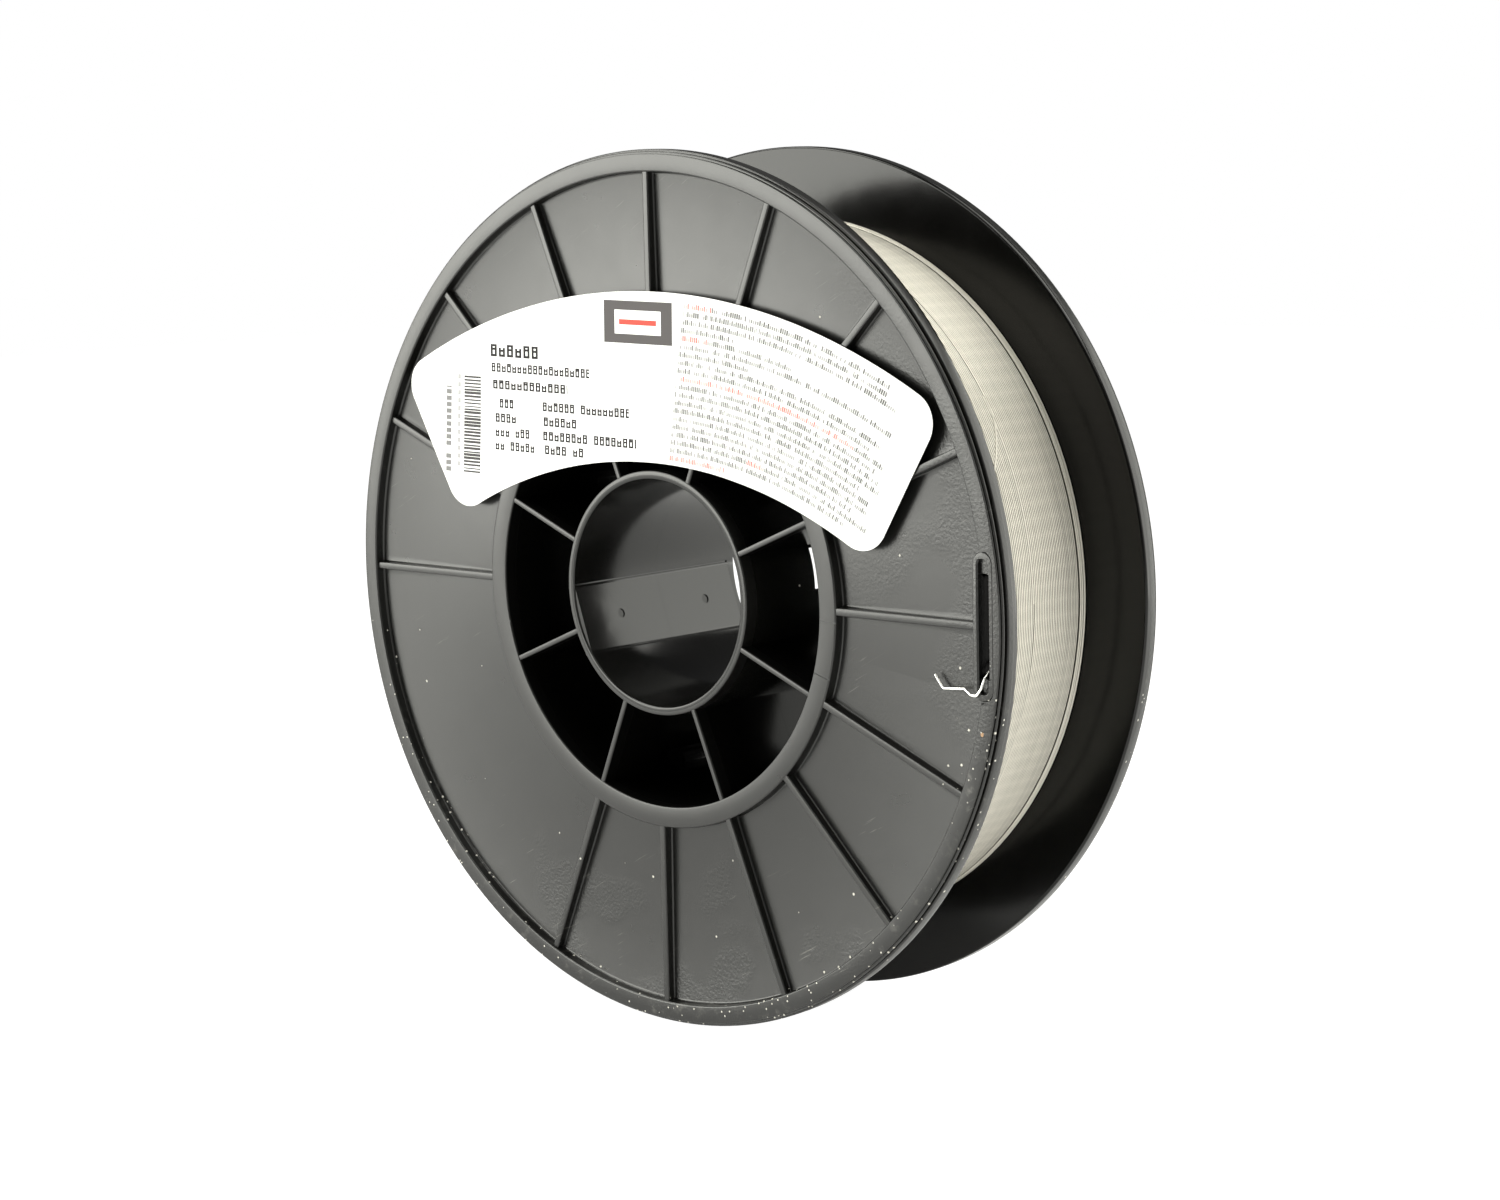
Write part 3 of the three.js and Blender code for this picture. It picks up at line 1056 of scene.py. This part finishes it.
def plastic_material(shell):
    """Glossy black moulding with fine texture, scuffs, and dust that gathers low and on the rim."""
    paint = Paint("black_moulded_plastic")
    x, y, z = paint.axes()
    hub_ring, bore = shell.hub_ring_radius / MM, shell.bore_radius / MM
    radius = (x * x + z * z).root()
    depth, across, height = abs(y), abs(x), abs(z)
    on_rim = radius.rising(RIM_INNER_RADIUS - 2, RIM_INNER_RADIUS)
    outside = depth.rising(24.2, 24.8) * (radius > hub_ring - 0.5)
    low = (0 - z).rising(-10, 85)
    polished = (radius < bore + 1) | (depth < 24)
    in_pocket = radius.within(bore + TUBE_WALL, hub_ring - 4) * (depth < POCKET_RIB_DEPTH - 0.4)
    slot_reach = SLOT_WIDTH / 2 + 0.1
    in_slot = across.within(SLOT_X - slot_reach, SLOT_X + slot_reach) * (x * y < 0)
    in_slot = in_slot * (height < SLOT_THROUGH_LENGTH / 2 + 0.1)
    in_slot = in_slot * depth.within(FLANGE_INNER_DEPTH + 0.1, BORDER_DEPTH - SLOT_CHAMFER)
    between = (depth < FLANGE_INNER_DEPTH + 0.4) * (radius > hub_ring)
    pad_turn = math.radians(PAD_ANGLE)
    towards_pad = x * math.cos(pad_turn) + z * math.sin(pad_turn)
    on_pad = towards_pad.within(PAD_DISTANCE - 0.1, PAD_DISTANCE + 0.06)
    round_bore = (radius < bore + 1) * (1 - on_pad)

    cloud = paint.noise(CLOUD_SIZE, 3)
    mottle = paint.noise(MOTTLE_SIZE, 4)
    grain = paint.noise(GRAIN_SIZE, 2)
    patches = paint.noise(PEEL_PATCH_SIZE, 2)
    peel_patch = x.rising(40, 92) * patches.rising(0.42, 0.6) * z.rising(-60, 10)
    peel_patch = peel_patch | ((0 - z).rising(50, 58) * patches.rising(0.5, 0.6))
    by_slot = x.rising(86, 92) * (1 - height.rising(22, 36))

    streak_place = paint.vector(x * 0.04 + z * 0.05, y * 0.05, z * 0.9 - x * 0.5)
    streaks = paint.noise(STREAK_SIZE, 3, streak_place).rising(0.66, 0.74)
    worn = paint.noise(WORN_SIZE, 3).rising(0.52, 0.66)
    scuff = streaks * worn * outside * (0.35 + 0.5 * low)

    below_slot = x.rising(82, 90) * (0 - z).within(14, 46)
    dusty = outside * (on_rim * low * 1.6 + 1.6 * below_slot + 0.06 * low)
    fine_dust = specks(paint, *FINE_DUST, dusty * 0.5)
    coarse_dust = specks(paint, *COARSE_DUST, 0.1 + 0.25 * low * outside)
    dust = fine_dust | coarse_dust
    crumb_x, crumb_z = x - CRUMB_X, z - CRUMB_Z
    crumb_distance = (crumb_x * crumb_x + crumb_z * crumb_z).root() + 0.8 * grain
    crumb = (crumb_distance < CRUMB_RADIUS) * outside * (y < 0)
    haze = dusty * paint.noise(HAZE_SIZE, 5, roughness=0.65).rising(0.55, 0.8) * 0.1

    base = paint.mix(cloud, rgba(shell.colour, 0.85), rgba(shell.colour, 1.15))
    base = paint.mix(scuff * 0.3 | haze, base, rgba(shell.dust_colour, 0.6))
    base = paint.mix(dust, base, rgba(shell.dust_colour))
    base = paint.mix(crumb, base, rgba(CRUMB_COLOUR))
    dirt = dust | crumb
    roughness = PLASTIC_ROUGHNESS + 0.08 * mottle + 0.25 * scuff + 0.5 * dirt + 0.1 * haze
    roughness = roughness - 0.14 * polished
    relief = grain * (GRAIN_RELIEF + PEEL_RELIEF * (peel_patch | by_slot)) * outside
    relief = relief + mottle * MOTTLE_RELIEF + dirt * DUST_RELIEF
    # Painted shade: dull black is mixed into the slot, the pockets, the flanges' inner faces and
    # the round walls of the bore.
    shade = in_slot * SLOT_SHADE | in_pocket * POCKET_SHADE
    shade = shade | between * BETWEEN_SHADE | round_bore * BORE_SHADE
    return paint.finish(
        shade=shade,
        base_color=base,
        roughness=roughness,
        normal=paint.bump(relief, 1.0, 1.0),
    )


def winding_material(wire):
    """Drawn wire laid side by side: each turn a little lighter or darker, faint cross lay, painted
    crevice shade.
    """
    paint = Paint("wound_steel_wire")
    x, y, z = paint.axes()
    angle = x.math("ARCTAN2", z, x)
    half = wire.wire_diameter / MM / 2
    turn = (y / (2 * half)).floor()
    tone = paint.scatter(paint.vector(turn, 0.0, 0.0))
    band = paint.noise(5.0, 2, paint.vector(y, angle * 3.0, 0.0))
    # Painted shade: the colour darkens from the crest of each turn into the crevices between turns,
    # by the surface's radius.
    middle = wire.winding_radius / MM - half - LAYER_RISE * (y > LAST_TURN_Y)
    crest = (((x * x + z * z).root() - middle) / half).rising(0.2, 0.9)
    darker, lighter = rgba(wire.winding_colour, 0.86), rgba(wire.winding_colour, 1.14)
    colour = paint.mix(tone * 0.6 + band * 0.4, darker, lighter)
    # Painted shadow: a dark line along the last turn of the outer layer, high on the winding.
    painted_gap_shadow = y.within(LAST_TURN_Y - 0.5, LAST_TURN_Y - 0.15) * z.rising(40, 52) * (x > 0)
    crest = crest * (1 - painted_gap_shadow)
    colour = paint.mix(crest, rgba(wire.winding_colour, PAINTED_CREVICE_SHADE), colour)
    fine = paint.noise(0.2, 2)
    return paint.finish(
        base_color=colour,
        metallic=1.0,
        roughness=0.5 + 0.08 * tone,
        normal=paint.bump(fine, 0.4, 0.01),
    )


def wire_end_material(wire):
    """Drawn wire: winding colour with painted shade on the winding, painted light where bent past
    the flange.
    """
    paint = Paint("steel_wire_with_painted_light_and_shade")
    y = paint.axes()[1]
    # Painted light and shade: the end is painted much lighter past the flange, and the wire lying
    # on the winding a little darker than the winding.
    past_flange = (0 - y).rising(21.5, 23.5)
    marks = paint.noise(0.16, 3)
    dull = paint.noise(2.5, 3)
    bright = paint.mix(dull, rgba(wire.end_colour, 0.85), rgba(wire.end_colour))
    return paint.finish(
        base_color=paint.mix(past_flange, rgba(wire.winding_colour, 0.8), bright),
        metallic=1.0,
        roughness=0.5 - 0.32 * past_flange + 0.12 * dull,
        normal=paint.bump(marks, 0.3, 0.01),
    )


def area(across, up, sides):
    """1 inside a rectangle that is given by its left, right, foot and top, else 0."""
    left, right, foot, top = sides
    return across.within(left, right) * up.within(foot, top)


def large_print(paint, across, up):
    """Rows of small hollow blocks that stand for words, with no letters in them."""
    ink = None
    for left, right, foot, height, pitch in LARGE_PRINT:
        place = (across - left) / pitch
        along = place.fraction()
        rise = (up - foot) / height
        chance = paint.scatter(paint.vector(place.floor(), foot, left))
        top = 0.74 + 0.26 * (chance > 0.4)
        block = (rise > 0) * (rise < top) * (along < 0.76)
        middle = 0.34 + 0.3 * chance
        bar = rise.within(middle, middle + 0.18)
        hollow = along.within(0.26, 0.5) * rise.within(0.2, 0.82) * (1 - bar)
        line = across.within(left, right) * block * (1 - hollow) * (chance > 0.12)
        ink = line if ink is None else ink | line
    return ink


def small_print(paint, radius, degrees):
    """Curved rows of fine marks, and which of them are red."""
    height = (radius - SMALL_PRINT_FOOT) / SMALL_PRINT_PITCH
    row, rise = height.floor(), height.fraction()
    place = degrees * SMALL_PRINT_STRETCH / SMALL_PRINT_LETTER
    chance = paint.scatter(paint.vector(place.floor(), row, 1.0))
    shifted = (place + row * 0.37).floor()
    word = paint.scatter(paint.vector(shifted, row, 5.0)) > 0.1
    stroke = place.fraction() < 0.8
    body = (rise > 0.1) * (rise < 0.56 + 0.2 * (chance > 0.6))
    start = 2.25 + (radius - 130) * 0.036
    end = 24.6 + 3.6 * paint.scatter(paint.vector(row, 3.0, 0.0))
    for number, stop in SHORT_ROWS.items():
        is_row = row.within(number - 0.5, number + 0.5)
        end = end * (1 - is_row) + is_row * stop
    rows = row.within(-0.5, SMALL_PRINT_ROWS - 0.5)
    ink = rows * body * stroke * word * (degrees > start) * (degrees < end)
    red = None
    for number, first, last in RED_RUNS:
        run = row.within(number - 0.5, number + 0.5) * degrees.within(first, last)
        red = run if red is None else red | run
    return ink * (0.55 + 0.35 * chance), red


def label_material(label):
    """White paper with generic print: word blocks, bars, a plain panel and fine curved rows."""
    paint = Paint("printed_paper")
    x, y, z = paint.axes()
    cosine, sine = math.cos(label.turn), math.sin(label.turn)
    across = x * cosine - z * sine
    up = x * sine + z * cosine
    drop = up + LABEL_CENTRE_DROP
    radius = (across * across + drop * drop).root()
    degrees = across.math("ARCTAN2", across, drop) * math.degrees(1)

    large = large_print(paint, across, up)
    leaning = across - up * BARS_LEAN
    bar_place = up / BARS_PITCH
    bar_width = 0.38 + 0.5 * paint.scatter(paint.vector(bar_place.floor(), 2.0, 0.0))
    bars = area(leaning, up, BARS_AREA) * (bar_place.fraction() < bar_width)
    numbers = area(leaning, up, NUMBERS_AREA) * ((up / NUMBERS_PITCH).fraction() < 0.6)
    side_place = up / SIDE_WORDS_PITCH
    side_words = paint.scatter(paint.vector(side_place.floor(), 9.0, 0.0)) > 0.14
    side = area(leaning, up, SIDE_WORDS_AREA) * side_words * (side_place.fraction() < 0.72)
    small, red = small_print(paint, radius, degrees)
    facing_out = (0 - y) > LABEL_DEPTH + LABEL_THICKNESS / 4

    fibre = paint.noise(0.5, 4)
    shade = paint.noise(18, 2)
    paper = paint.mix(shade, rgba(label.paper_colour, 0.985), rgba(label.paper_colour))
    ink, accent = rgba(label.ink_colour), rgba(label.accent_colour)
    colour = paint.mix(small, paper, paint.mix(red, ink, accent))
    colour = paint.mix(large, colour, ink)
    colour = paint.mix(bars * 0.95 | numbers * 0.6 | side * 0.8, colour, ink)
    colour = paint.mix(area(across, up, PANEL_AREA), colour, rgba(label.ink_colour, 3.4))
    colour = paint.mix(area(across, up, WINDOW_AREA), colour, rgba(label.paper_colour))
    colour = paint.mix(area(across, up, RULE_AREA), colour, accent)
    return paint.finish(
        base_color=paint.mix(facing_out, paper, colour),
        roughness=0.85 + 0.1 * fibre,
        specular=0.15,
        normal=paint.bump(fibre, 0.25, 0.01),
    )


def floor_material(stage):
    """Plain pale floor, which shows brighter than it lights what stands on it."""
    paint = Paint("pale_floor")
    shade = paint.noise(160, 2)
    colour = paint.mix(shade, rgba(stage.floor_colour, 0.97), rgba(stage.floor_colour))
    white = (1, 1, 1, 1)
    inputs = {"Base Color": colour, "Roughness": 0.7, "Emission Color": white}
    seen = paint.add("BsdfPrincipled", {}, {**inputs, "Emission Strength": stage.floor_glow})
    inputs["Base Color"] = rgba((1, 1, 1), FLOOR_BOUNCE)
    felt = paint.add("BsdfPrincipled", {}, {**inputs, "Emission Strength": stage.floor_light})
    ray = paint.add("LightPath", {}, {}, "Is Camera Ray")
    shader = paint.add("MixShader", {}, {0: ray, 1: felt, 2: seen})
    paint.add("OutputMaterial", {}, {"Surface": shader})
    return paint.material


# Stage


def camera_matrix(stage):
    """Place and turn of the camera, looking at a point close to the middle of the spool."""
    azimuth, elevation, roll = stage.camera_azimuth, stage.camera_elevation, stage.camera_roll
    back = Vector(
        (
            math.sin(azimuth) * math.cos(elevation),
            -math.cos(azimuth) * math.cos(elevation),
            math.sin(elevation),
        )
    )
    level = Vector((math.cos(azimuth), math.sin(azimuth), 0))
    right = level * math.cos(roll) + back.cross(level) * math.sin(roll)
    matrix = Matrix((right, back.cross(right), back)).transposed().to_4x4()
    matrix.translation = CAMERA_AIM * MM + back * stage.camera_distance
    return matrix


def add_light(name, place, target, width, height, radiance):
    """Soft rectangular light of an even brightness, a little warm."""
    lamp = bpy.data.lights.new(name, "AREA")
    lamp.shape = "RECTANGLE"
    lamp.size, lamp.size_y = width * MM, height * MM
    lamp.energy = radiance * math.pi * lamp.size * lamp.size_y
    lamp.color = LIGHT_COLOUR
    obj = bpy.data.objects.new(name, lamp)
    obj.location = Vector(place) * MM
    facing = Vector(target) - Vector(place)
    obj.rotation_euler = facing.to_track_quat("-Z", "Y").to_euler()
    obj.visible_camera = False
    bpy.context.scene.collection.objects.link(obj)


def white_room(stage):
    """White surroundings, which light the spool less than they show."""
    world = bpy.data.worlds.new("room")
    world.use_nodes = True
    nodes, links = world.node_tree.nodes, world.node_tree.links
    seen = nodes["Background"]
    seen.inputs["Color"].default_value = (1, 1, 1, 1)
    lighting = nodes.new("ShaderNodeBackground")
    lighting.inputs["Color"].default_value = (1, 1, 1, 1)
    lighting.inputs["Strength"].default_value = stage.room_strength
    ray = nodes.new("ShaderNodeLightPath")
    choice = nodes.new("ShaderNodeMixShader")
    links.new(ray.outputs["Is Camera Ray"], choice.inputs["Fac"])
    links.new(lighting.outputs[0], choice.inputs[1])
    links.new(seen.outputs[0], choice.inputs[2])
    links.new(choice.outputs[0], nodes["World Output"].inputs["Surface"])
    return world


# Operators


class SPOOL_OT_halves(bpy.types.Operator):
    """Build the two moulded halves of the spool"""

    bl_idname = "spool.halves"
    bl_label = "Moulded halves"

    def execute(self, context):
        shell = context.scene.spool_shell
        material = plastic_material(shell)
        for node, name, is_front in (
            ("front_half", "front_half_moulding", True),
            ("rear_half", "rear_half_moulding", False),
        ):
            half = build_half(name, shell, is_front)
            finish_piece(half, node, material)
        return {"FINISHED"}


class SPOOL_OT_winding(bpy.types.Operator):
    """Build the wound wire: its body and its outer turns"""

    bl_idname = "spool.winding"
    bl_label = "Winding"

    def execute(self, context):
        wire = context.scene.spool_wire
        material = winding_material(wire)
        for obj in (build_core(wire), build_outer_turns(wire)):
            finish_piece(obj, "wire_winding", material, WIRE_CREASE)
        return {"FINISHED"}


class SPOOL_OT_wire_end(bpy.types.Operator):
    """Build the wire's end that is held in the slot"""

    bl_idname = "spool.wire_end"
    bl_label = "Wire end"

    def execute(self, context):
        wire = context.scene.spool_wire
        material = wire_end_material(wire)
        finish_piece(build_wire_end(wire), "wire_end", material, WIRE_CREASE)
        return {"FINISHED"}


class SPOOL_OT_label(bpy.types.Operator):
    """Build the paper label with generic print"""

    bl_idname = "spool.label"
    bl_label = "Label"

    def execute(self, context):
        label = context.scene.spool_label
        finish_piece(build_label(label), "label", label_material(label))
        return {"FINISHED"}


class SPOOL_OT_stage(bpy.types.Operator):
    """Set up the floor, the light and the camera"""

    bl_idname = "spool.stage"
    bl_label = "Stage"

    def execute(self, context):
        scene, stage = context.scene, context.scene.spool_stage
        camera = bpy.data.objects.new("camera", bpy.data.cameras.new("camera"))
        camera.data.sensor_width = 36
        camera.data.lens = stage.lens
        camera.matrix_world = camera_matrix(stage)
        scene.collection.objects.link(camera)
        scene.camera = camera
        scene.view_settings.view_transform = "Standard"

        bm = bmesh.new()
        bmesh.ops.create_grid(bm, x_segments=8, y_segments=8, size=FLOOR_REACH)
        floor = new_object("floor", bm)
        floor.data.transform(Matrix.Scale(MM, 4))
        floor.location.z = HALF_LOW.z - FLOOR_GAP * MM
        floor.data.materials.append(floor_material(stage))

        for name, place, target, width, height, share in LIGHTS:
            add_light(name, place, target, width, height, share * stage.key_strength)
        scene.world = white_room(stage)
        return {"FINISHED"}


class SPOOL_PT_panel(bpy.types.Panel):
    bl_label = "Welding wire spool"
    bl_idname = "SPOOL_PT_panel"
    bl_space_type = "VIEW_3D"
    bl_region_type = "UI"
    bl_category = "Spool"

    def draw(self, context):
        for settings, operators in (
            (context.scene.spool_shell, (SPOOL_OT_halves,)),
            (context.scene.spool_wire, (SPOOL_OT_winding, SPOOL_OT_wire_end)),
            (context.scene.spool_label, (SPOOL_OT_label,)),
            (context.scene.spool_stage, (SPOOL_OT_stage,)),
        ):
            box = self.layout.box()
            for name in settings.__annotations__:
                box.prop(settings, name)
            for operator in operators:
                box.operator(operator.bl_idname)


SETTINGS = {
    "spool_shell": SpoolShellSettings,
    "spool_wire": SpoolWireSettings,
    "spool_label": SpoolLabelSettings,
    "spool_stage": SpoolStageSettings,
}
OPERATORS = (
    SPOOL_OT_stage,
    SPOOL_OT_halves,
    SPOOL_OT_winding,
    SPOOL_OT_wire_end,
    SPOOL_OT_label,
)


def register():
    for kind in (*SETTINGS.values(), *OPERATORS, SPOOL_PT_panel):
        bpy.utils.register_class(kind)
    for name, kind in SETTINGS.items():
        setattr(bpy.types.Scene, name, PointerProperty(type=kind))


def unregister():
    for name in SETTINGS:
        delattr(bpy.types.Scene, name)
    for kind in reversed((*SETTINGS.values(), *OPERATORS, SPOOL_PT_panel)):
        bpy.utils.unregister_class(kind)


def main():
    register()
    bpy.ops.spool.stage()
    bpy.ops.spool.halves()
    bpy.ops.spool.winding()
    bpy.ops.spool.wire_end()
    bpy.ops.spool.label()


if __name__ == "__main__":
    main()
